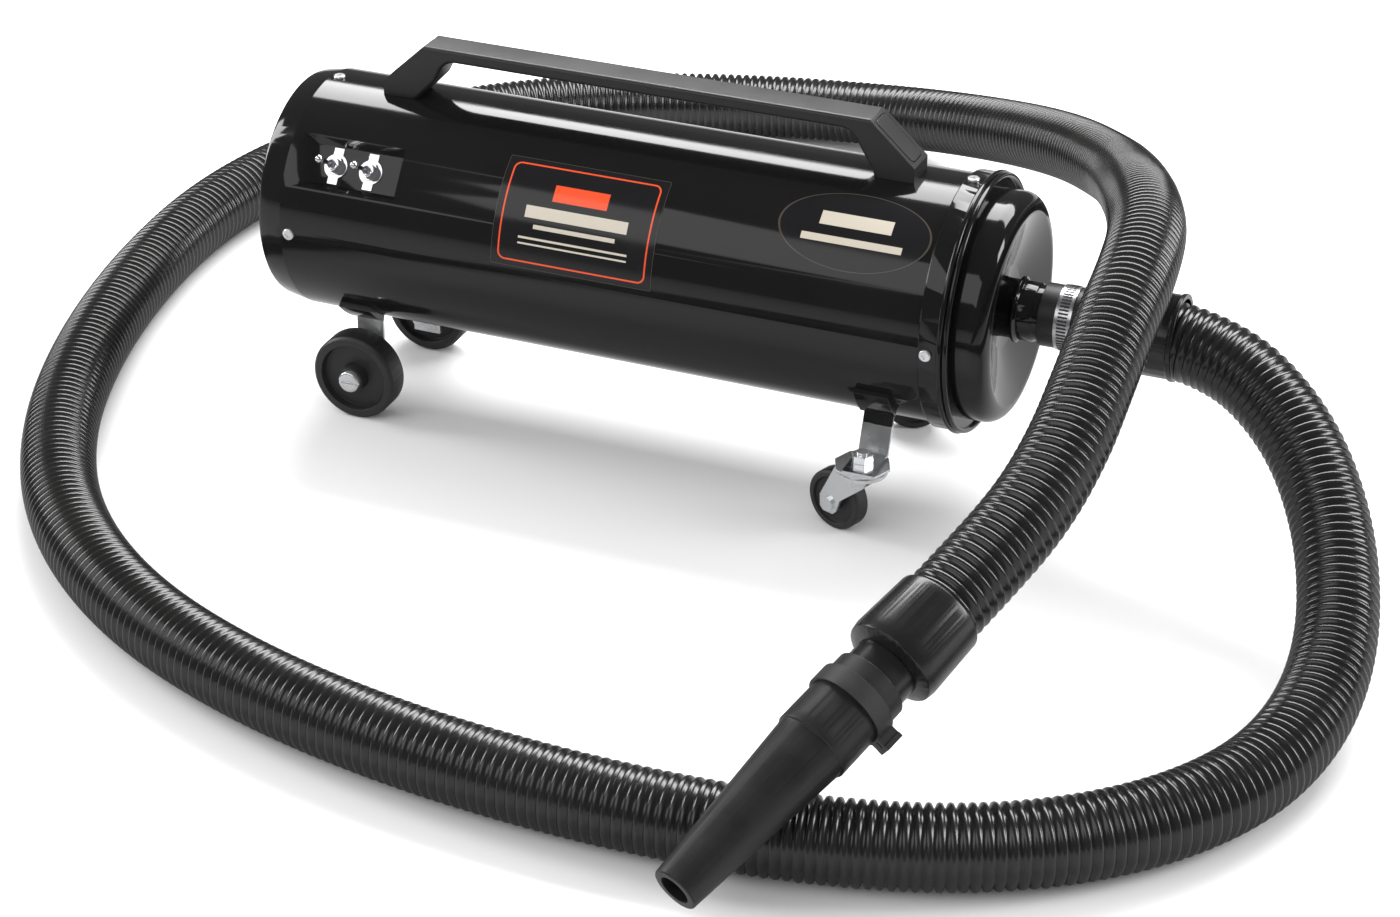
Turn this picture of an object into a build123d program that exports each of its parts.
# Canister blower dryer on wheels, with its hose. Millimetres, +X towards the outlet, +Z up, floor at Z = 0.
import os
from math import acos, atan2, cos, degrees, pi, radians, sin, sqrt, tan

from build123d import *

os.makedirs("parts", exist_ok=True)

# ---- driving sizes ----
shell_radius = 101.6        # 8 in canister
shell_wall = 1.2
shell_length = 580.0
ground_clearance = 74.4     # under the shell
cap_depth = 23.0
dome_reach = 36.0           # shell end to the crest of the dome
outlet_reach = 56.0         # crest of the dome to the end of the rubber sleeve
fit_gap = 0.3               # between separate pieces that don't touch
running_gap = 0.06          # radial clearance of a turning fit

axis_height = ground_clearance + shell_radius
overall_length = cap_depth + shell_length + dome_reach + outlet_reach
rear_x = -overall_length / 2
seam_x = rear_x + cap_depth
shell_end_x = seam_x + shell_length
crest_x = shell_end_x + dome_reach
outlet_end_x = crest_x + outlet_reach

body_axis = Axis((0, 0, axis_height), (1, 0, 0))
profile_plane = Plane(origin=(0, 0, axis_height), x_dir=(1, 0, 0), z_dir=(0, -1, 0))


def across(x):
    """Plane across the canister at x, its origin on the canister's axis."""
    return Plane(origin=(x, 0, axis_height), x_dir=(0, 1, 0), z_dir=(1, 0, 0))


def ring(start, end, inner, outer):
    """Plain ring round the canister's axis."""
    with BuildPart() as made:
        with BuildSketch(across(start)):
            Circle(outer)
            if inner > 0:
                Circle(inner, mode=Mode.SUBTRACT)
        extrude(amount=end - start)
    return made.part


def turned(points):
    """Solid of revolution round the canister's axis from (x, radius) points."""
    with BuildPart() as made:
        with BuildSketch(profile_plane):
            with BuildLine():
                Polyline(*points, close=True)
            make_face()
        revolve(axis=body_axis)
    return made.part


def save(piece, name):
    piece.label = name
    export_step(piece, "parts/" + name + ".step")


def pan_head_screw(head_radius, head_height, shank_radius, shank_length, place):
    """Cross-recessed pan head screw; its head stands out along the plane's normal."""
    with BuildPart() as made:
        with BuildSketch(place):
            Circle(head_radius)
        extrude(amount=head_height)
        circles = made.edges().filter_by(GeomType.CIRCLE)
        rim = circles.sort_by(lambda e: (e.center() - place.origin).dot(place.z_dir))[-1]
        fillet(rim, head_height * 0.6)
        with BuildSketch(place):
            Circle(shank_radius)
        extrude(amount=-shank_length)
        with BuildSketch(place.offset(head_height)):
            Rectangle(head_radius, head_radius * 0.26)
            Rectangle(head_radius * 0.26, head_radius)
        extrude(amount=-head_height * 0.5, mode=Mode.SUBTRACT)
    return made.part


# ---- switch pocket, pressed into the shell ----
pocket_tilt = 36.0          # its floor's normal above the horizontal, in degrees
pocket_floor = shell_radius - 10.6
pocket_start = seam_x + 20.0
pocket_length = 79.0
pocket_low = -14.5
pocket_height = 33.0
pocket_rise = 11.0          # floor to the plane where the flared walls are cut off
ramp_length = 15.0
end_flare = 5.0
side_flare = 9.5

pocket_normal = (0, -cos(radians(pocket_tilt)), sin(radians(pocket_tilt)))
pocket_plane = Plane(
    origin=(0, pocket_floor * pocket_normal[1], axis_height + pocket_floor * pocket_normal[2]),
    x_dir=(1, 0, 0),
    z_dir=pocket_normal,
)


def pocket_loft(grow, drop):
    """Flared pocket, grown all round and with its floor lowered for its outer skin."""
    with BuildPart() as made:
        with BuildSketch(pocket_plane.offset(-drop)):
            with Locations((pocket_start + pocket_length / 2, pocket_low + pocket_height / 2)):
                Rectangle(pocket_length + 2 * grow, pocket_height + 2 * grow)
        with BuildSketch(pocket_plane.offset(pocket_rise)):
            with Locations((
                pocket_start + (pocket_length + end_flare - ramp_length) / 2,
                pocket_low + pocket_height / 2,
            )):
                Rectangle(
                    pocket_length + ramp_length + end_flare + 2 * grow,
                    pocket_height + 2 * side_flare + 2 * grow,
                )
        loft()
    return made.part


# ---- screws and their places ----
screw_shank = 2.0
screw_head = 5.0
screw_head_height = 2.2
screw_count = 4
rear_screw_x = seam_x + 8.0
collar_width = 20.0
collar_x = shell_end_x - 16.0
front_screw_x = collar_x + 7.0
collar_radius = shell_radius + 3.6


def screw_planes(x, radius):
    """Planes on a cylinder of that radius, a quarter turn apart, facing outwards."""
    planes = []
    for index in range(screw_count):
        angle = radians(90 + index * 360 / screw_count)
        out = (0, cos(angle), sin(angle))
        spot = (x, radius * out[1], axis_height + radius * out[2])
        planes.append(Plane(origin=spot, x_dir=(1, 0, 0), z_dir=out))
    return planes


# ---- handle ----
handle_start = seam_x + 58.0
handle_length = shell_length - 111.0
handle_width = 31.0
handle_rise = 46.9          # top of the grip above the shell
grip_height = 36.0          # underside of the grip above the shell
end_face_height = 11.4
slope_run = 38.5
handle_bolt_radius = 3.0
handle_end = handle_start + handle_length
handle_bolt_x = (handle_start + 21.0, handle_end - 21.0)

# ---- switches ----
switch_x = (seam_x + 40.5, seam_x + 73.0)
switch_y = 2.0
bushing_radius = 6.0
bushing_height = 9.0

# ---- cord inlet ----
inlet_angle = -25.0         # on the far side, below the middle
inlet_x = seam_x + 45.0
inlet_radius = 8.0
inlet_out = (0, cos(radians(inlet_angle)), sin(radians(inlet_angle)))
inlet_plane = Plane(
    origin=(inlet_x, shell_radius * inlet_out[1], axis_height + shell_radius * inlet_out[2]),
    x_dir=(1, 0, 0),
    z_dir=inlet_out,
)

# ---- shell ----
with BuildPart() as shell:
    with BuildSketch(across(seam_x)):
        Circle(shell_radius)
        Circle(shell_radius - shell_wall, mode=Mode.SUBTRACT)
    extrude(amount=shell_length)
    add(pocket_loft(2.0, 1.5))
    with BuildSketch(across(seam_x)):
        Circle(shell_radius)
    extrude(amount=shell_length, mode=Mode.INTERSECT)
    add(pocket_loft(0.0, 0.0), mode=Mode.SUBTRACT)
    for plane in screw_planes(rear_screw_x, shell_radius) + screw_planes(front_screw_x, shell_radius):
        with BuildSketch(plane.offset(2)):
            Circle(screw_shank + fit_gap)
        extrude(amount=-6, mode=Mode.SUBTRACT)
    for x in handle_bolt_x:
        with BuildSketch(Plane(origin=(x, 0, axis_height + shell_radius + 2))):
            Circle(handle_bolt_radius + fit_gap)
        extrude(amount=-6, mode=Mode.SUBTRACT)
    for x in switch_x:
        with BuildSketch(pocket_plane.offset(1)):
            with Locations((x, switch_y)):
                Circle(bushing_radius + fit_gap)
        extrude(amount=-4, mode=Mode.SUBTRACT)
    with BuildSketch(inlet_plane.offset(2)):
        Circle(inlet_radius + fit_gap)
    extrude(amount=-6, mode=Mode.SUBTRACT)
save(shell.part, "shell")

# ---- rear cap, grille and foam filter ----
sheet = 1.5
rim_radius = shell_radius - 3.6
grille_radius = shell_radius - 15.6
grille_thickness = 2.0
foam_depth = 15.0
cap_spigot = 14.0
filter_lip = shell_radius - 27.6
spigot_radius = shell_radius - shell_wall - fit_gap

with BuildPart() as rear_cap:
    with BuildSketch(profile_plane):
        with BuildLine():
            Polyline(
                (rear_x, grille_radius + fit_gap),
                (rear_x, rim_radius - 3),
                (rear_x + 0.9, rim_radius - 0.9),
                (rear_x + 3, rim_radius),
                (seam_x, shell_radius),
                (seam_x, spigot_radius),
                (seam_x + cap_spigot, spigot_radius),
                (seam_x + cap_spigot, spigot_radius - sheet),
                (seam_x - sheet, spigot_radius - sheet),
                (rear_x + 3, rim_radius - 2 * sheet),
                (rear_x + sheet, grille_radius + fit_gap + sheet),
                (seam_x, grille_radius + fit_gap + sheet),
                (seam_x, filter_lip),
                (seam_x - sheet, filter_lip),
                (seam_x - sheet, grille_radius + fit_gap),
                close=True,
            )
        make_face()
    revolve(axis=body_axis)
    for plane in screw_planes(rear_screw_x, shell_radius):
        with BuildSketch(plane):
            Circle(screw_shank + fit_gap)
        extrude(amount=-6, mode=Mode.SUBTRACT)
    add(pocket_loft(3.0, 2.5), mode=Mode.SUBTRACT)
save(rear_cap.part, "rear_cap")

slot_rings = ((14.0, 40.0, 12), (47.0, grille_radius - 8, 24))      # inner end, outer end, count
slot_width = 6.0
with BuildPart() as intake_grille:
    with BuildSketch(across(rear_x + sheet)):
        Circle(grille_radius)
        for inner, outer, count in slot_rings:
            with PolarLocations((inner + outer) / 2, count):
                SlotOverall(outer - inner, slot_width, mode=Mode.SUBTRACT)
    extrude(amount=grille_thickness)
save(intake_grille.part, "intake_grille")

foam_x = rear_x + sheet + grille_thickness + fit_gap
save(ring(foam_x, foam_x + foam_depth, 0, grille_radius - fit_gap), "foam_filter")

rear_screws = Compound(children=[
    pan_head_screw(screw_head, screw_head_height, screw_shank, 5, plane)
    for plane in screw_planes(rear_screw_x, shell_radius + 0.05)
])
save(rear_screws, "rear_cap_screws")

# ---- front collar and dome ----
bead_radius = 2.2
collar_bead_x = collar_x + collar_width
with BuildPart() as front_collar:
    with BuildSketch(profile_plane):
        with BuildLine():
            Polyline(
                (collar_x, shell_radius + fit_gap),
                (collar_x, collar_radius - 1),
                (collar_x + 1, collar_radius),
                (collar_bead_x, collar_radius),
                (collar_bead_x, shell_radius - shell_wall),
                (shell_end_x + fit_gap, shell_radius - shell_wall),
                (shell_end_x + fit_gap, shell_radius + fit_gap),
                close=True,
            )
        make_face()
        with Locations((collar_bead_x - bead_radius - 0.1, collar_radius)):
            Circle(bead_radius)
    revolve(axis=body_axis)
    for plane in screw_planes(front_screw_x, collar_radius):
        with BuildSketch(plane.offset(1)):
            Circle(screw_shank + fit_gap)
        extrude(amount=-7, mode=Mode.SUBTRACT)
save(front_collar.part, "front_collar")

collar_screws = Compound(children=[
    pan_head_screw(screw_head, screw_head_height, screw_shank, 8, plane)
    for plane in screw_planes(front_screw_x, collar_radius + 0.05)
])
save(collar_screws, "collar_screws")

dome_radius = shell_radius - 7.6
shoulder_radius = 14.0
crest_radius = 8.0
dish_slope = 16.0           # degrees the dished face falls inwards from the crest
neck_radius = 24.0
neck_wall = 1.5
flange_x = collar_bead_x + 0.1
flange_radius = shell_radius + 2.4
crest_r = dome_radius - shoulder_radius
dish_hub_r = 34.0


def dome_line(inset):
    """Corner points of the dome's skin, moved inwards by inset."""
    shoulder_x = crest_x - shoulder_radius
    inner_x = crest_x - crest_radius
    bend = radians(dish_slope)
    lip = (inner_x + (crest_radius - inset) * cos(bend), crest_r - (crest_radius - inset) * sin(bend))
    hub = (lip[0] - (lip[1] - dish_hub_r) * tan(bend), dish_hub_r)
    return shoulder_x, inner_x, lip, hub


with BuildPart() as outlet_dome:
    with BuildSketch(profile_plane):
        with BuildLine():
            shoulder_x, inner_x, lip, hub = dome_line(0)
            root = (flange_x + sheet, flange_radius - 1)
            foot = (flange_x + sheet, dome_radius)
            Polyline((flange_x, flange_radius - 1), root, foot, (shoulder_x, dome_radius))
            CenterArc((shoulder_x, crest_r), shoulder_radius, 90, -90)
            CenterArc((inner_x, crest_r), crest_radius, 0, -dish_slope)
            end = (hub[0] - 1.5, neck_radius + 0.05)
            Polyline(lip, hub, end)
            in_shoulder_x, in_inner_x, in_lip, in_hub = dome_line(sheet)
            in_end = (in_hub[0] - 1.5, neck_radius + 0.05)
            Polyline(end, in_end, in_hub, in_lip)
            CenterArc((in_inner_x, crest_r), crest_radius - sheet, -dish_slope, dish_slope)
            CenterArc((in_shoulder_x, crest_r), shoulder_radius - sheet, 0, 90)
            Polyline(
                (in_shoulder_x, dome_radius - sheet),
                (flange_x, dome_radius - sheet),
                (flange_x, flange_radius - 1),
            )
        make_face()
        with Locations((flange_x + bead_radius, flange_radius)):
            Circle(bead_radius)
    revolve(axis=body_axis)
save(outlet_dome.part, "outlet_dome")

# ---- outlet neck, rubber sleeve and clamp ----
neck_start = crest_x - 22.0
neck_step_x = crest_x + 13.0
sleeve_bore = 22.5
sleeve_radius = 25.6
sleeve_x = outlet_end_x - 36.5
neck_bead_x = crest_x - 1.2
neck_bead = 2.9
neck_end = sleeve_x + 22.0
with BuildPart() as outlet_neck:
    with BuildSketch(profile_plane):
        with BuildLine():
            Polyline(
                (neck_start, neck_radius),
                (neck_bead_x - 3, neck_radius),
                (neck_bead_x - 1, neck_radius + neck_bead),
                (neck_bead_x + 1, neck_radius + neck_bead),
                (neck_bead_x + 3, neck_radius),
                (neck_step_x, neck_radius),
                (neck_step_x + 2, sleeve_bore),
                (neck_end, sleeve_bore),
                (neck_end, sleeve_bore - neck_wall),
                (neck_step_x, sleeve_bore - neck_wall),
                (neck_start, neck_radius - neck_wall),
                close=True,
            )
        make_face()
    revolve(axis=body_axis)
save(outlet_neck.part, "outlet_neck")

save(ring(sleeve_x, outlet_end_x, sleeve_bore + 0.05, sleeve_radius), "rubber_sleeve")

band_x = sleeve_x + 14.0
band_width = 13.5
band_thickness = 0.9
band_radius = sleeve_radius + 0.05
housing_z = axis_height - band_radius - band_thickness
screw_plane = Plane(origin=(band_x + band_width / 2, 0, housing_z - 3), x_dir=(1, 0, 0), z_dir=(0, 1, 0))
with BuildPart() as clamp_band:
    add(ring(band_x, band_x + band_width, band_radius, band_radius + band_thickness))
    with BuildSketch(Plane(origin=(band_x + band_width / 2, 4, housing_z + 1), z_dir=(0, 0, -1))):
        Rectangle(band_width - 1, 15)
    extrude(amount=8)
    with BuildSketch(across(band_x)):
        Circle(band_radius)
    extrude(amount=band_width, mode=Mode.SUBTRACT)
    with BuildSketch(screw_plane.offset(-6)):
        Circle(3.2)
    extrude(amount=20, mode=Mode.SUBTRACT)
save(clamp_band.part, "clamp_band")

with BuildPart() as clamp_screw:
    with BuildSketch(screw_plane.offset(-3)):
        Circle(3.0)
    extrude(amount=14.8)
    with BuildSketch(screw_plane.offset(11.8)):
        RegularPolygon(4.6, 6)
    extrude(amount=5)
save(clamp_screw.part, "clamp_screw")

# ---- handle ----
def outline(points):
    """Side outline of the handle; heights are above the top of the shell."""
    return [(x, shell_radius + height) for x, height in points]


with BuildPart() as handle:
    with BuildSketch(profile_plane):
        with BuildLine():
            Polyline(*outline([
                (handle_start, -6),
                (handle_start, end_face_height),
                (handle_start + slope_run, handle_rise),
                (handle_end - slope_run, handle_rise),
                (handle_end, end_face_height),
                (handle_end, -6),
            ]), close=True)
        make_face()
        with BuildLine():
            FilletPolyline(*outline([
                (handle_start + 6, -26),
                (handle_start + 48, 17),
                (handle_start + 57, grip_height),
                (handle_end - 55, grip_height),
                (handle_end - 36, 4),
                (handle_end - 26, -26),
            ]), radius=15, close=True)
        make_face(mode=Mode.SUBTRACT)
    extrude(amount=handle_width / 2, both=True)
    long_edges = handle.edges().filter_by(Axis.X).filter_by(lambda e: e.length > handle_length / 2)
    fillet(long_edges, 3.5)
    with BuildSketch(across(handle_start - 1)):
        Circle(shell_radius + 0.05)
    extrude(amount=handle_length + 2, mode=Mode.SUBTRACT)
    for x in handle_bolt_x:
        with BuildSketch(Plane(origin=(x, 0, axis_height + shell_radius - 2))):
            Circle(handle_bolt_radius)
        extrude(amount=18, mode=Mode.SUBTRACT)

slope_rise = handle_rise - end_face_height
slope_length = sqrt(slope_run ** 2 + slope_rise ** 2)
plug_depth = 3.0
plug_gap = 0.6


def slope_plane(x, side):
    """Plane on a sloped end, at its middle; x_dir runs up the slope."""
    run = side * slope_run / slope_length
    rise = slope_rise / slope_length
    middle = (x + side * slope_run / 2, 0, axis_height + shell_radius + (end_face_height + handle_rise) / 2)
    return Plane(origin=middle, x_dir=(run, 0, rise), z_dir=(-side * rise, 0, abs(run)))


slopes = [slope_plane(handle_start, 1), slope_plane(handle_end, -1)]
with BuildPart() as grooved_handle:
    add(handle.part)
    for plane in slopes:
        with BuildSketch(plane.offset(1)):
            RectangleRounded(slope_length - 7, handle_width - 9, 5)
        extrude(amount=-plug_depth - 1, mode=Mode.SUBTRACT)
save(grooved_handle.part, "handle")

with BuildPart() as handle_plugs:
    for plane in slopes:
        with BuildSketch(plane.offset(-plug_depth)):
            RectangleRounded(slope_length - 7 - 2 * plug_gap, handle_width - 9 - 2 * plug_gap, 4.4)
        extrude(amount=plug_depth + 0.4)
save(handle_plugs.part, "handle_plugs")

with BuildPart() as handle_bolts:
    for x in handle_bolt_x:
        bolt_top = Plane(origin=(x, 0, axis_height + shell_radius - shell_wall - 0.3))
        with BuildSketch(bolt_top):
            Circle(handle_bolt_radius)
        extrude(amount=15)
        with BuildSketch(bolt_top):
            RegularPolygon(5.6, 6)
        extrude(amount=-4)
save(handle_bolts.part, "handle_bolts")

# ---- toggle switches ----
lever_lean = 14.0           # rest angle towards the rear
pivot_height = 3.5          # above the pocket floor
pivot_ball = 3.0
lever_reach = 20.5
tip_ball = 3.4
skin_drop = 1.6


def pocket_spot(x, y, height):
    """World point above the pocket floor."""
    flat = pocket_plane.x_dir * x + pocket_plane.y_dir * y
    return pocket_plane.origin + flat + pocket_plane.z_dir * height


for number, x in enumerate(switch_x, 1):
    with BuildPart() as toggle_switch:
        with BuildSketch(pocket_plane.offset(-skin_drop)):
            with Locations((x, switch_y)):
                Rectangle(18, 28)
        extrude(amount=-20)
        with BuildSketch(pocket_plane.offset(-skin_drop)):
            with Locations((x, switch_y)):
                Circle(bushing_radius)
        extrude(amount=skin_drop + bushing_height)
        with BuildSketch(pocket_plane.offset(-8)):
            with Locations((x, switch_y)):
                Circle(pivot_ball + running_gap)
        extrude(amount=8 + bushing_height + 1, mode=Mode.SUBTRACT)
        with BuildSketch(pocket_plane.offset(-9)):
            with Locations((x, switch_y)):
                Circle(5)
        extrude(amount=7, mode=Mode.SUBTRACT)
        with BuildSketch(pocket_plane.offset(pivot_height + 3)):
            with Locations((x, switch_y)):
                Circle(4)
        extrude(amount=8, mode=Mode.SUBTRACT)
    save(toggle_switch.part, "toggle_switch_" + str(number))

    pivot = pocket_spot(x, switch_y, pivot_height)
    lean = radians(lever_lean)
    lever_out = pocket_plane.z_dir * cos(lean) - pocket_plane.x_dir * sin(lean)
    lever_plane = Plane(origin=pivot, x_dir=pocket_plane.y_dir, z_dir=lever_out)
    with BuildPart() as toggle_lever:
        with Locations(Location(pivot)):
            Sphere(pivot_ball)
        with BuildSketch(lever_plane.offset(-7)):
            Circle(1.2)
        extrude(amount=7)
        with BuildSketch(lever_plane):
            Circle(1.5)
        with BuildSketch(lever_plane.offset(lever_reach)):
            Circle(2.3)
        loft()
        with Locations(Location(pivot + lever_out * lever_reach)):
            Sphere(tip_ball)
    save(toggle_lever.part, "toggle_lever_" + str(number))
    print("lever", number, "pivot", tuple(round(v, 2) for v in pivot))

plate_thickness = 0.8
with BuildPart() as switch_plates:
    for x in switch_x:
        with BuildSketch(pocket_plane.offset(0.05)):
            with Locations((x, switch_y)):
                Circle(10.5)
                Rectangle(9, 31)
                Circle(bushing_radius + 0.1, mode=Mode.SUBTRACT)
        extrude(amount=plate_thickness)
save(switch_plates.part, "switch_plates")

with BuildPart() as switch_nuts:
    for x in switch_x:
        with BuildSketch(pocket_plane.offset(plate_thickness + 0.1)):
            with Locations((x, switch_y)):
                RegularPolygon(8.1, 6)
                Circle(bushing_radius + 0.05, mode=Mode.SUBTRACT)
        extrude(amount=2.6)
save(switch_nuts.part, "switch_nuts")

# ---- fan motors, one behind the other ----
first_motor_x = pocket_start + pocket_length + 31
motor_x = (first_motor_x, first_motor_x + 0.33 * shell_length)
fan_case_radius = shell_radius - 29.1
fan_case_length = 60.0
frame_radius = 47.5
frame_length = 80.0
frame_wall = 3.0
eye_radius = 28.0
shaft_radius = 4.0
bearing_radius = 11.0
bearing_width = 7.0
armature_radius = 24.0
commutator_radius = 14.0
inner_radius = shell_radius - shell_wall
baffle_thickness = 2.0
gasket_thickness = 4.0

for number, x in enumerate(motor_x, 1):
    case_end = x + fan_case_length
    frame_end = case_end + frame_length
    with BuildPart() as fan_case:
        add(ring(x, case_end, fan_case_radius - 1.5, fan_case_radius))
        add(ring(x, x + 1.5, eye_radius, fan_case_radius))
        add(ring(case_end - 2, case_end, bearing_radius - 4, fan_case_radius))
        with BuildSketch(across(case_end - 3)):
            with PolarLocations(30, 8):
                Circle(7)
        extrude(amount=4, mode=Mode.SUBTRACT)
    save(fan_case.part, "fan_case_" + str(number))

    with BuildPart() as stator:
        add(ring(case_end + 0.05, frame_end, frame_radius - frame_wall, frame_radius))
        add(ring(case_end + 0.05, case_end + 3, bearing_radius - 4, frame_radius))
        add(ring(case_end + 0.05, case_end + 3 + bearing_width, bearing_radius, bearing_radius + 3))
        add(ring(frame_end - 3, frame_end, bearing_radius - 4, frame_radius))
        add(ring(frame_end - 3 - bearing_width, frame_end, bearing_radius, bearing_radius + 3))
        with BuildSketch(across(case_end + 18)):
            Circle(frame_radius - 1)
            Circle(armature_radius + 1, mode=Mode.SUBTRACT)
            with PolarLocations(35, 2, start_angle=0):
                Rectangle(14, 44, mode=Mode.SUBTRACT)
        extrude(amount=34)
        with BuildSketch(across(case_end - 1)):
            with PolarLocations(30, 8):
                Circle(7)
        extrude(amount=5, mode=Mode.SUBTRACT)
        with BuildSketch(across(frame_end - 4)):
            with PolarLocations(30, 8):
                Circle(7)
        extrude(amount=5, mode=Mode.SUBTRACT)
    save(stator.part, "stator_" + str(number))

    with BuildPart() as rotor:
        add(ring(x + 10, frame_end - 2, 0, shaft_radius))
        add(ring(case_end + 16, case_end + 54, 0, armature_radius))
        add(ring(case_end + 56, case_end + 66, 0, commutator_radius))
        with BuildSketch(across(case_end + 15)):
            with PolarLocations(armature_radius, 12):
                Rectangle(7, 2.4)
        extrude(amount=40, mode=Mode.SUBTRACT)
    save(rotor.part, "rotor_" + str(number))

    with BuildPart() as fan:
        add(ring(x + 12, x + 52, shaft_radius, 12))
        add(ring(x + 44, x + 46, shaft_radius, fan_case_radius - 6))
        add(ring(x + 12, x + 14, eye_radius, fan_case_radius - 6))
        with BuildSketch(across(x + 13)):
            with PolarLocations((eye_radius + fan_case_radius - 10) / 2, 9):
                with Locations(Location((0, 0, 0), 35)):
                    Rectangle(fan_case_radius - 14 - eye_radius, 2)
        extrude(amount=32)
        with BuildSketch(across(x + 44)):
            with PolarLocations(22, 9):
                Circle(4)
        extrude(amount=2, mode=Mode.SUBTRACT)
    save(fan.part, "fan_" + str(number))

baffles = Compound(children=[
    ring(x - gasket_thickness - baffle_thickness, x - gasket_thickness - 0.05, eye_radius + 4, inner_radius - 0.05)
    for x in motor_x
])
save(baffles, "motor_baffles")
gaskets = Compound(children=[
    ring(x - gasket_thickness, x - 0.05, eye_radius + 4, fan_case_radius) for x in motor_x
])
save(gaskets, "motor_gaskets")
bearing_starts = []
for x in motor_x:
    bearing_starts.append(x + fan_case_length + 3.05)
    bearing_starts.append(x + fan_case_length + frame_length - 3.05 - bearing_width)
bearings = Compound(children=[
    ring(x, x + bearing_width, shaft_radius + running_gap, bearing_radius - 0.05) for x in bearing_starts
])
save(bearings, "motor_bearings")

with BuildPart() as motor_brushes:
    for x in motor_x:
        for side in (1, -1):
            spot = (x + fan_case_length + 61, side * (commutator_radius + running_gap), axis_height)
            with BuildSketch(Plane(origin=spot, x_dir=(1, 0, 0), z_dir=(0, side, 0))):
                Rectangle(7, 5)
            extrude(amount=frame_radius - frame_wall - commutator_radius - 0.1)
save(motor_brushes.part, "motor_brushes")

# ---- cord inlet gland ----
with BuildPart() as cord_inlet_gland:
    with BuildSketch(inlet_plane.offset(-8)):
        Circle(inlet_radius)
    extrude(amount=8)
    with BuildSketch(inlet_plane.offset(0.35)):
        Circle(12)
    extrude(amount=5)
    with BuildSketch(inlet_plane):
        Circle(inlet_radius)
    extrude(amount=8)
    with BuildSketch(inlet_plane.offset(8)):
        Circle(9)
    with BuildSketch(inlet_plane.offset(26)):
        Circle(6)
    loft()
    with BuildSketch(inlet_plane.offset(-9)):
        Circle(3.8)
    extrude(amount=40, mode=Mode.SUBTRACT)
save(cord_inlet_gland.part, "cord_inlet_gland")


# ---- straps and saddles ----
def sector(start, end, inner, outer, low, high, side):
    """Curved plate round the canister; angles run down from the horizontal on one side."""
    with BuildPart() as made:
        with BuildSketch(across(start)):
            with BuildLine():
                corners = []
                for radius, angle in ((inner, low), (outer, low), (outer, high), (inner, high)):
                    corners.append((side * radius * cos(radians(angle)), -radius * sin(radians(angle))))
                middle = radians((low + high) / 2)
                Line(corners[0], corners[1])
                ThreePointArc(corners[1], (side * outer * cos(middle), -outer * sin(middle)), corners[2])
                Line(corners[2], corners[3])
                ThreePointArc(corners[3], (side * inner * cos(middle), -inner * sin(middle)), corners[0])
            make_face()
        extrude(amount=end - start)
    return made.part


def bar(start, width, side, points):
    """Flat bar of constant section across x, from (y, z) outline points on the +Y side."""
    with BuildPart() as made:
        with BuildSketch(Plane(origin=(start, 0, 0), x_dir=(0, 1, 0), z_dir=(1, 0, 0))):
            with BuildLine():
                Polyline(*[(side * y, z) for y, z in points], close=True)
            make_face()
        extrude(amount=width)
    return made.part


strap_width = 25.0
strap_thickness = 3.0
strap_clear = 0.05
strap_inner = shell_radius + strap_clear
strap_outer = strap_inner + strap_thickness
saddle_cover = 2.4
saddle_outer = strap_outer + saddle_cover

wheel_radius = 38.1         # 3 in
wheel_width = 24.0
wheel_x = seam_x + 49.5
wheel_y = shell_radius - 32.6
bolt_radius = 5.0
rear_strap_x = wheel_x - 8.0
saddle_width = 30.0
rear_strap_y = wheel_y - wheel_width / 2 - 4.0       # outer face of the strap
rear_strap_mid = rear_strap_y - strap_thickness / 2
rear_turn = degrees(atan2(sqrt((strap_inner + 1.5) ** 2 - rear_strap_mid ** 2), rear_strap_mid))
front_lean = 22.0
kingpin_x = seam_x + 520.0 / 580.0 * shell_length
kingpin_y = shell_radius - 1.6
front_strap_x = kingpin_x - 9.5
foot_z = 66.0
leg_y = kingpin_y - 17.0


def leg_top(y, z, lean):
    """Where a leg leaning outwards below meets the strap's curve on the shell."""
    step_y = -sin(radians(lean))
    step_z = cos(radians(lean))
    drop = z - axis_height
    half = y * step_y + drop * step_z
    reach = -half - sqrt(half ** 2 - (y ** 2 + drop ** 2 - (strap_inner + 1.5) ** 2))
    return y + reach * step_y, z + reach * step_z


knee_y, knee_z = leg_top(leg_y, foot_z + strap_thickness / 2, front_lean)
front_turn = degrees(atan2(axis_height - knee_z, knee_y))
rear_span = 15.0
front_span = 16.0
saddle_parts = []

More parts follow.
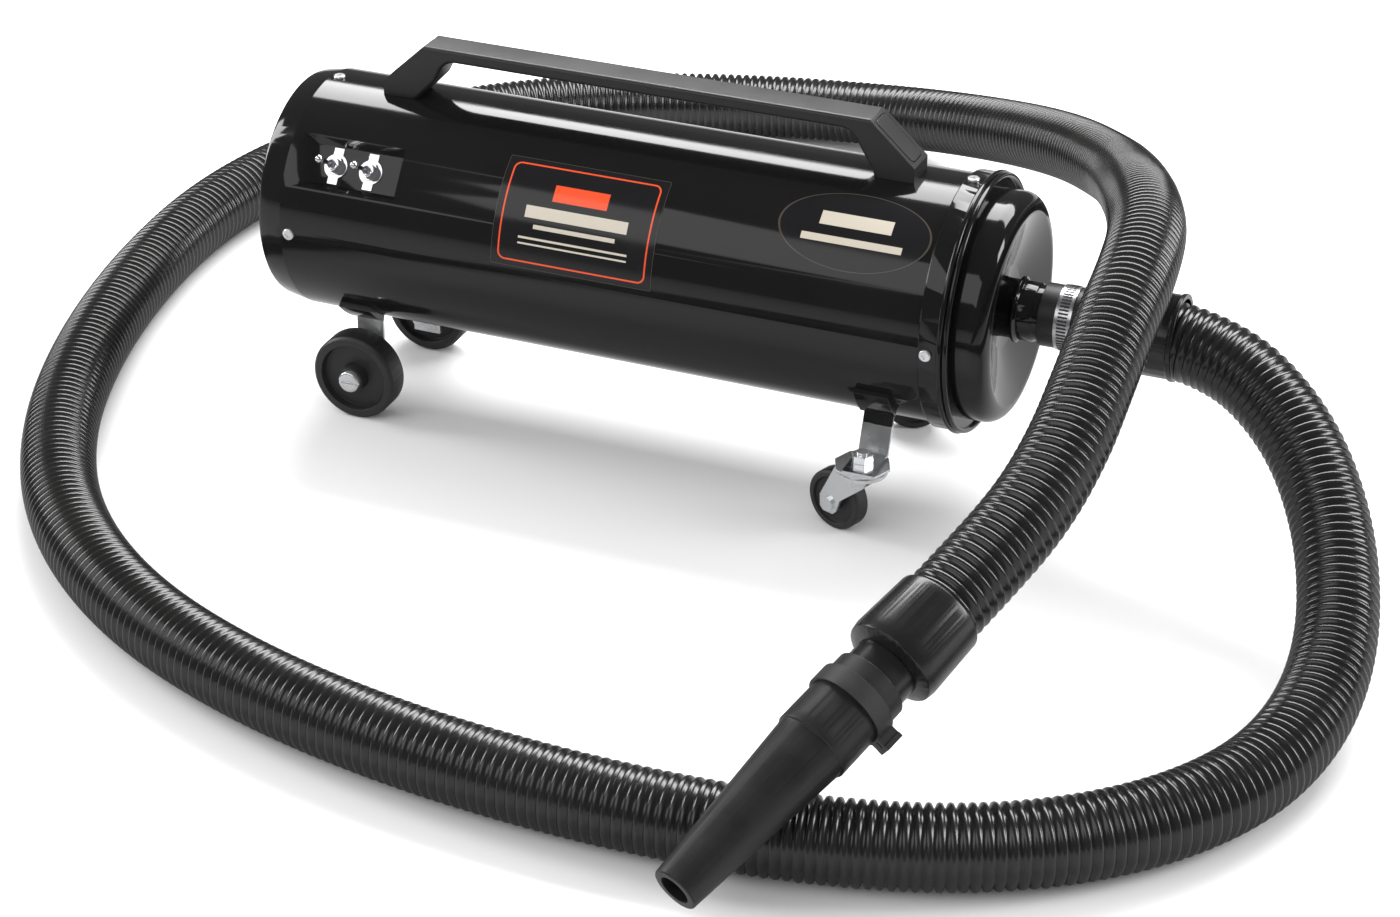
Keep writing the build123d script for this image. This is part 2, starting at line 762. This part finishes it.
for side, word in ((-1, "near"), (1, "far")):
    top_z = axis_height - sqrt((strap_inner + 1.5) ** 2 - rear_strap_mid ** 2)
    with BuildPart() as rear_strap:
        inside_y = rear_strap_y - strap_thickness
        add(bar(rear_strap_x, strap_width, side, [
            (inside_y, wheel_radius - 16),
            (rear_strap_y, wheel_radius - 16),
            (rear_strap_y, top_z),
            (inside_y, top_z - 0.2),
        ]))
        add(sector(
            rear_strap_x, rear_strap_x + strap_width, strap_inner, strap_outer,
            rear_turn - rear_span, rear_turn + 0.9, side,
        ))
        hole_centre = (wheel_x, side * (rear_strap_y + 1), wheel_radius)
        with BuildSketch(Plane(origin=hole_centre, z_dir=(0, -side, 0))):
            Circle(bolt_radius + 0.05)
        extrude(amount=6, mode=Mode.SUBTRACT)
    save(rear_strap.part, "rear_strap_" + word)

    lean = radians(front_lean)
    across_y = strap_thickness / 2 * cos(lean)
    across_z = strap_thickness / 2 * sin(lean)
    with BuildPart() as front_strap:
        add(bar(front_strap_x, strap_width, side, [
            (leg_y - 1.2, foot_z),
            (kingpin_y + 22, foot_z),
            (kingpin_y + 22, foot_z + strap_thickness),
            (leg_y + 1.2, foot_z + strap_thickness),
        ]))
        add(bar(front_strap_x, strap_width, side, [
            (leg_y - across_y + 0.2, foot_z + 1.5 - across_z - 0.4),
            (leg_y + across_y + 0.2, foot_z + 1.5 + across_z - 0.4),
            (knee_y + across_y, knee_z + across_z),
            (knee_y - across_y, knee_z - across_z),
        ]))
        add(sector(
            front_strap_x, front_strap_x + strap_width, strap_inner, strap_outer,
            front_turn - front_span, front_turn + 0.8, side,
        ))
        with BuildSketch(Plane(origin=(kingpin_x, side * kingpin_y, foot_z - 1))):
            Circle(bolt_radius + 0.05)
        extrude(amount=5, mode=Mode.SUBTRACT)
    save(front_strap.part, "front_strap_" + word)

    for low, high, strap_x in (
        (rear_turn - rear_span - 3, rear_turn - 2.0, rear_strap_x),
        (front_turn - front_span - 3, front_turn - 2.0, front_strap_x),
    ):
        with BuildPart() as saddle:
            add(sector(
                strap_x - 2.5, strap_x + saddle_width - 2.5, strap_inner, saddle_outer, low, high, side,
            ))
            add(sector(
                strap_x - 0.05, strap_x + strap_width + 0.05, strap_inner - 0.5, strap_outer + 0.05,
                low + 2.9, high + 4, side,
            ), mode=Mode.SUBTRACT)
        saddle_parts.append(saddle.part)
save(Compound(children=saddle_parts), "saddle_pads")

# ---- rear wheels ----
axle_clear = 0.06
boss_radius = 11.0
boss_reach = 4.0            # out past the wheel's face
face_recess = 7.0
bolt_parts = []
nut_parts = []
for side, word in ((-1, "near"), (1, "far")):
    inner_face = side * (wheel_y - wheel_width / 2)
    outer_face = side * (wheel_y + wheel_width / 2)
    wheel_axis = Axis((wheel_x, 0, wheel_radius), (0, 1, 0))
    wheel_profile = Plane(origin=(wheel_x, 0, wheel_radius), x_dir=(0, 1, 0), z_dir=(1, 0, 0))
    with BuildPart() as rear_wheel:
        with BuildSketch(wheel_profile):
            with BuildLine():
                Polyline(
                    (inner_face, bolt_radius + axle_clear),
                    (inner_face, boss_radius),
                    (inner_face + side * 6, boss_radius + 1),
                    (inner_face + side * 6, wheel_radius - 9),
                    (inner_face, wheel_radius - 8),
                    (inner_face, wheel_radius - 2.5),
                    (inner_face + side * 2.5, wheel_radius),
                    (outer_face - side * 2.5, wheel_radius),
                    (outer_face, wheel_radius - 2.5),
                    (outer_face, wheel_radius - 8),
                    (outer_face - side * face_recess, wheel_radius - 9),
                    (outer_face - side * face_recess, boss_radius + 1),
                    (outer_face + side * boss_reach, boss_radius),
                    (outer_face + side * boss_reach, bolt_radius + axle_clear),
                    close=True,
                )
            make_face()
        revolve(axis=wheel_axis)
    save(rear_wheel.part, "rear_wheel_" + word)

    with BuildPart() as axle_bolt:
        head_y = outer_face + side * (boss_reach + 0.35)
        head_plane = Plane(origin=(wheel_x, head_y, wheel_radius), x_dir=(1, 0, 0), z_dir=(0, side, 0))
        with BuildSketch(head_plane):
            Circle(9.5)
        extrude(amount=4.5)
        fillet(axle_bolt.edges().filter_by(GeomType.CIRCLE).sort_by(Axis.Y)[0 if side < 0 else -1], 2)
        with BuildSketch(head_plane.offset(4.5)):
            Rectangle(24, 2)
        extrude(amount=-2, mode=Mode.SUBTRACT)
        with BuildSketch(head_plane):
            Circle(bolt_radius)
        extrude(amount=-(wheel_width + strap_thickness + boss_reach + 11.5))
        boss_centre = (wheel_x, side * (rear_strap_y + 0.05), wheel_radius)
        with BuildSketch(Plane(origin=boss_centre, x_dir=(1, 0, 0), z_dir=(0, side, 0))):
            Circle(8)
        extrude(amount=3.6)
    bolt_parts.append(axle_bolt.part)
    with BuildPart() as lock_nut:
        nut_y = side * (rear_strap_y - strap_thickness - 0.05)
        with BuildSketch(Plane(origin=(wheel_x, nut_y, wheel_radius), x_dir=(1, 0, 0), z_dir=(0, -side, 0))):
            RegularPolygon(9, 6)
            Circle(bolt_radius + 0.02, mode=Mode.SUBTRACT)
        extrude(amount=6)
    nut_parts.append(lock_nut.part)
save(Compound(children=bolt_parts), "axle_bolts")
save(Compound(children=nut_parts), "lock_nuts")

# ---- swivel casters ----
caster_radius = 26.0
caster_width = 17.5
trail = 24.0
caster_turn = 20.0          # rest heading, toed outwards
axle_radius = 4.0
plate_radius = 23.5
fork_radius = 20.5
fork_top = 61.5
fork_sheet = 3.0
cheek_y = caster_width / 2 + 1.5
pin_parts = []
plate_parts = []
for side, word in ((-1, "near"), (1, "far")):
    heading = radians(side * caster_turn)
    forward = (cos(heading), sin(heading), 0)
    outward = (-sin(heading), cos(heading), 0)
    pin = (kingpin_x, side * kingpin_y)
    with BuildPart() as swivel_plate:
        with BuildSketch(Plane(origin=(*pin, foot_z - 2.55))):
            RegularPolygon(plate_radius, 8)
        extrude(amount=2.5)
        with BuildSketch(Plane(origin=(*pin, fork_top + 0.4))):
            Circle(17.5)
            Circle(12, mode=Mode.SUBTRACT)
        extrude(amount=1.7)
        with BuildSketch(Plane(origin=(*pin, foot_z - 5))):
            Circle(bolt_radius + 0.05)
        extrude(amount=6, mode=Mode.SUBTRACT)
    plate_parts.append(swivel_plate.part)

    with BuildPart() as kingpin:
        with BuildSketch(Plane(origin=(*pin, fork_top - fork_sheet - 3.8))):
            Circle(8)
        extrude(amount=3.5)
        with BuildSketch(Plane(origin=(*pin, fork_top - fork_sheet - 3.8))):
            Circle(bolt_radius)
        extrude(amount=23)
        with BuildSketch(Plane(origin=(*pin, foot_z + strap_thickness + 0.05))):
            RegularPolygon(9.2, 6)
        extrude(amount=6.5)
    pin_parts.append(kingpin.part)

    hub = (pin[0] - trail * forward[0], pin[1] - trail * forward[1], caster_radius)
    with BuildPart() as fork:
        with BuildSketch(Plane(origin=(*pin, fork_top - fork_sheet), x_dir=forward, z_dir=(0, 0, 1))):
            Circle(fork_radius)
            with Locations((-6, 0)):
                Rectangle(24, 2 * (cheek_y + fork_sheet))
            Circle(bolt_radius + running_gap, mode=Mode.SUBTRACT)
        extrude(amount=fork_sheet)
        for cheek in (-1, 1):
            spot = [pin[0] + cheek * cheek_y * outward[0], pin[1] + cheek * cheek_y * outward[1], 0]
            turn = (cheek * outward[0], cheek * outward[1], 0)
            cheek_plane = Plane(origin=spot, x_dir=forward, z_dir=turn)
            up = 1 if cheek_plane.y_dir.Z > 0 else -1
            with BuildSketch(cheek_plane):
                with BuildLine():
                    Polyline(
                        (-18, up * fork_top),
                        (15, up * fork_top),
                        (12, up * (fork_top - 9)),
                        (-12, up * (caster_radius + 6)),
                        (-15.5, up * (caster_radius - 5)),
                        (-19, up * (caster_radius - 8.5)),
                        (-29, up * (caster_radius - 8.5)),
                        (-32.5, up * (caster_radius - 5)),
                        (-33, up * (caster_radius + 5)),
                        close=True,
                    )
                make_face()
                with Locations((-trail, up * caster_radius)):
                    Circle(axle_radius + 0.05, mode=Mode.SUBTRACT)
            extrude(amount=fork_sheet)
    save(fork.part, "fork_" + word)

    hub_plane = Plane(origin=hub, x_dir=outward, z_dir=forward)
    hub_axis = Axis(hub, outward)
    half = caster_width / 2
    with BuildPart() as caster_wheel:
        with BuildSketch(hub_plane):
            with BuildLine():
                Polyline(
                    (-half, axle_radius + axle_clear),
                    (-half, 8),
                    (4 - half, 9),
                    (4 - half, caster_radius - 6.5),
                    (1 - half, caster_radius - 5.5),
                    (1 - half, caster_radius - 2),
                    (3 - half, caster_radius),
                    (half - 3, caster_radius),
                    (half - 1, caster_radius - 2),
                    (half - 1, caster_radius - 5.5),
                    (half - 4, caster_radius - 6.5),
                    (half - 4, 9),
                    (half, 8),
                    (half, axle_radius + axle_clear),
                    close=True,
                )
            make_face()
        revolve(axis=hub_axis)
    save(caster_wheel.part, "caster_wheel_" + word)

    with BuildPart() as caster_axle:
        reach = cheek_y + fork_sheet + 0.05
        spot = (hub[0] - reach * outward[0], hub[1] - reach * outward[1], hub[2])
        with BuildSketch(Plane(origin=spot, x_dir=forward, z_dir=outward)):
            Circle(axle_radius)
        extrude(amount=2 * reach)
        with BuildSketch(Plane(origin=spot, x_dir=forward, z_dir=outward)):
            Circle(6)
        extrude(amount=-2.5)
        far_spot = (hub[0] + reach * outward[0], hub[1] + reach * outward[1], hub[2])
        with BuildSketch(Plane(origin=far_spot, x_dir=forward, z_dir=outward)):
            Circle(6)
        extrude(amount=2.5)
    save(caster_axle.part, "caster_axle_" + word)
    print("caster", word, "hub", [round(v, 3) for v in hub], "axle along", [round(v, 4) for v in outward])
save(Compound(children=pin_parts), "kingpins")
save(Compound(children=plate_parts), "swivel_plates")

# ---- decals, left blank ----
decal_lift = 0.02
decal_thickness = 0.25
label_x = seam_x + 0.336 * shell_length
label_length = 142.0
label_low = 5.0
label_high = 57.0
badge_length = 127.0
badge_height = 67.0
badge_angle = 49.0
badge_x = collar_x - 4 - badge_length / 2
decal_inner = shell_radius + decal_lift
decal_outer = decal_inner + decal_thickness

name_label = sector(label_x, label_x + label_length, decal_inner, decal_outer, -label_high, -label_low, -1)
save(name_label, "name_label")

with BuildPart() as oval_badge:
    with BuildSketch(Plane(
        origin=(badge_x, 0, axis_height),
        x_dir=(1, 0, 0),
        z_dir=(0, -cos(radians(badge_angle)), sin(radians(badge_angle))),
    )):
        Ellipse(badge_length / 2, badge_height / 2)
    extrude(amount=shell_radius + 20)
    with BuildSketch(across(badge_x - badge_length)):
        Circle(decal_outer)
        Circle(decal_inner, mode=Mode.SUBTRACT)
    extrude(amount=2 * badge_length, mode=Mode.INTERSECT)
save(oval_badge.part, "oval_badge")

# ---- hose, cuffs and nozzle ----
hose_radius = 31.0
hose_bore = 25.0
hose_start_x = outlet_end_x + 30.5
on_floor = hose_radius + 0.5
bridge_lift = 86.0          # crest of the hose over the outlet's axis
cuff_clear = 0.3

cuff_profile = [
    (neck_end + 0.3, sleeve_bore - 3),
    (neck_end + 0.3, sleeve_bore),
    (outlet_end_x + 1, sleeve_bore),
    (outlet_end_x + 8, hose_radius),
    (outlet_end_x + 12, hose_radius + 3),
    (hose_start_x + 40, hose_radius + 3),
    (hose_start_x + 41, hose_radius + 4.4),
    (hose_start_x + 44.5, hose_radius + 4.4),
    (hose_start_x + 44.5, hose_radius + cuff_clear),
    (hose_start_x, hose_radius + cuff_clear),
    (hose_start_x, hose_bore),
    (outlet_end_x + 14, sleeve_bore - 3),
]
save(turned(cuff_profile), "machine_cuff")

# route: distance ahead of the hose's start, y, and lift as a share of the way up to the crossing
hose_route = [
    (0, 0, None), (72, 0, None), (150, -38, 0.471), (204, -114, 0.262), (232, -218, 0.072),
    (222, -330, 0), (170, -432, 0), (74, -510, 0), (-53, -552, 0), (-206, -566, 0), (-366, -556, 0),
    (-518, -522, 0), (-652, -462, 0), (-764, -368, 0), (-844, -248, 0), (-899, -108, 0), (-934, 45, 0),
    (-945, 200, 0), (-911, 345, 0), (-828, 468, 0), (-708, 560, 0), (-563, 616, 0), (-423, 636, 0.015),
    (-296, 572, 0.158), (-182, 448, 0.384), (-105, 331, 0.544), (-65, 229, 0.705), (-37, 145, 0.839),
    (-12, 73, 0.939), (12, 0, 0.996), (24, -75, 1), (29, -144, 0.965), (32, -210, 0.887),
    (33, -269, 0.796), (25, -328, 0.692),
]
nozzle_start = Vector(hose_start_x - 9.2, -421.5, 153.2)
nozzle_dir = Vector(-0.3516, -0.8606, -0.3685).normalized()
hose_in_cuff = 25.0
hose_last = nozzle_start + nozzle_dir * hose_in_cuff
before_last = nozzle_start - nozzle_dir * 40
top_z = axis_height + bridge_lift
route_points = []
for ahead, y, share in hose_route:
    z = axis_height if share is None else on_floor + share * (top_z - on_floor)
    route_points.append(Vector(hose_start_x + ahead, y, z))
route_points.append(before_last)
route_points.append(hose_last)

runs = [(b - a).length for a, b in zip(route_points, route_points[1:])]
bend_radii = []
for index in range(1, len(route_points) - 1):
    before = (route_points[index] - route_points[index - 1]).normalized()
    after = (route_points[index + 1] - route_points[index]).normalized()
    turn = acos(max(-1, min(1, before.dot(after))))
    bend_radii.append(0.45 * min(runs[index - 1], runs[index]) / tan(turn / 2))
print("hose bend radii", [round(r) for r in bend_radii])
print("hose runs", [round(r) for r in runs])

with BuildPart() as hose:
    with BuildLine() as hose_path:
        FilletPolyline(*route_points, radius=bend_radii)
    with BuildSketch(Plane(origin=route_points[0], z_dir=(1, 0, 0))):
        Circle(hose_radius)
        Circle(hose_bore, mode=Mode.SUBTRACT)
    sweep(path=hose_path.line)
save(hose.part, "hose")
hose_length = sum(edge.length for edge in hose_path.edges())
section = pi * (hose_radius ** 2 - hose_bore ** 2)
print("hose length", round(hose_length, 1))
print("hose volume over section times length", hose.part.volume / section / hose_length)

nozzle_axis = Axis(nozzle_start, nozzle_dir)
nozzle_side = nozzle_dir.cross(Vector(0, 0, 1)).normalized()
nozzle_plane = Plane(origin=nozzle_start, x_dir=nozzle_dir, z_dir=nozzle_side)
cuff_length = 58.0
neck_outer = 25.0
neck_length = 17.0
nozzle_sleeve = 65.0
cone_length = 139.0
tip_radius = 17.5
tip_bore = 11.5


def spun(points):
    """Solid of revolution round the nozzle's axis from (distance, radius) points."""
    with BuildPart() as made:
        with BuildSketch(nozzle_plane):
            with BuildLine():
                Polyline(*points, close=True)
            make_face()
        revolve(axis=nozzle_axis)
    return made.part


save(spun([
    (0, hose_radius + cuff_clear),
    (0, hose_radius + 2.4),
    (2, hose_radius + 3),
    (cuff_length - 10, hose_radius + 5),
    (cuff_length - 3, hose_radius + 4),
    (cuff_length, neck_outer + 2),
    (cuff_length, 20.5),
    (hose_in_cuff + 8, 22),
    (hose_in_cuff, hose_bore),
    (hose_in_cuff, hose_radius + cuff_clear),
]), "nozzle_cuff")
neck_start_t = cuff_length + 0.05
sleeve_start = cuff_length + neck_length
save(spun([
    (neck_start_t, 21),
    (neck_start_t, neck_outer),
    (sleeve_start + 35, neck_outer),
    (sleeve_start + 35, 21),
]), "nozzle_neck")
sleeve_end = sleeve_start + nozzle_sleeve
tip_t = sleeve_end + cone_length
save(spun([
    (sleeve_start, neck_outer + 0.05),
    (sleeve_start, 28.2),
    (sleeve_end - 1, 28.7),
    (sleeve_end, 27.2),
    (tip_t - 0.8, tip_radius),
    (tip_t, tip_radius - 0.8),
    (tip_t, tip_bore),
    (tip_t - 15, tip_bore),
    (sleeve_end, neck_outer - 2),
    (sleeve_start + 35.1, neck_outer - 2),
    (sleeve_start + 35.1, neck_outer + 0.05),
]), "nozzle")

clamp_t = sleeve_start + 14.0
clamp_width = 15.0
clamp_inner = 28.65
with BuildPart() as nozzle_clamp:
    add(spun([
        (clamp_t, clamp_inner),
        (clamp_t, clamp_inner + 2.4),
        (clamp_t + clamp_width, clamp_inner + 2.4),
        (clamp_t + clamp_width, clamp_inner),
    ]))
    nozzle_up = nozzle_side.cross(nozzle_dir)
    tail_out = (nozzle_up * -0.64 - nozzle_side * 0.77).normalized()
    tail_plane = Plane(
        origin=nozzle_start + nozzle_dir * (clamp_t + clamp_width / 2) + tail_out * (clamp_inner + 1),
        x_dir=nozzle_dir,
        z_dir=tail_out,
    )
    with BuildSketch(tail_plane):
        with Locations((0, 3)):
            Rectangle(clamp_width, 9)
        with Locations((0, -5)):
            Rectangle(clamp_width, 4)
    extrude(amount=10)
    with BuildSketch(tail_plane.offset(6)):
        Rectangle(clamp_width, 16)
    extrude(amount=4)
    with BuildSketch(nozzle_plane):
        with BuildLine():
            Polyline((clamp_t - 1, 0), (clamp_t - 1, clamp_inner), (clamp_t + clamp_width + 1, clamp_inner),
                     (clamp_t + clamp_width + 1, 0), close=True)
        make_face()
    revolve(axis=nozzle_axis, mode=Mode.SUBTRACT)
save(nozzle_clamp.part, "nozzle_clamp")
print("kingpin", kingpin_x, kingpin_y, "wheel", wheel_x, wheel_y, "rear", rear_x, "end", outlet_end_x)
print("nozzle tip", nozzle_start + nozzle_dir * tip_t)
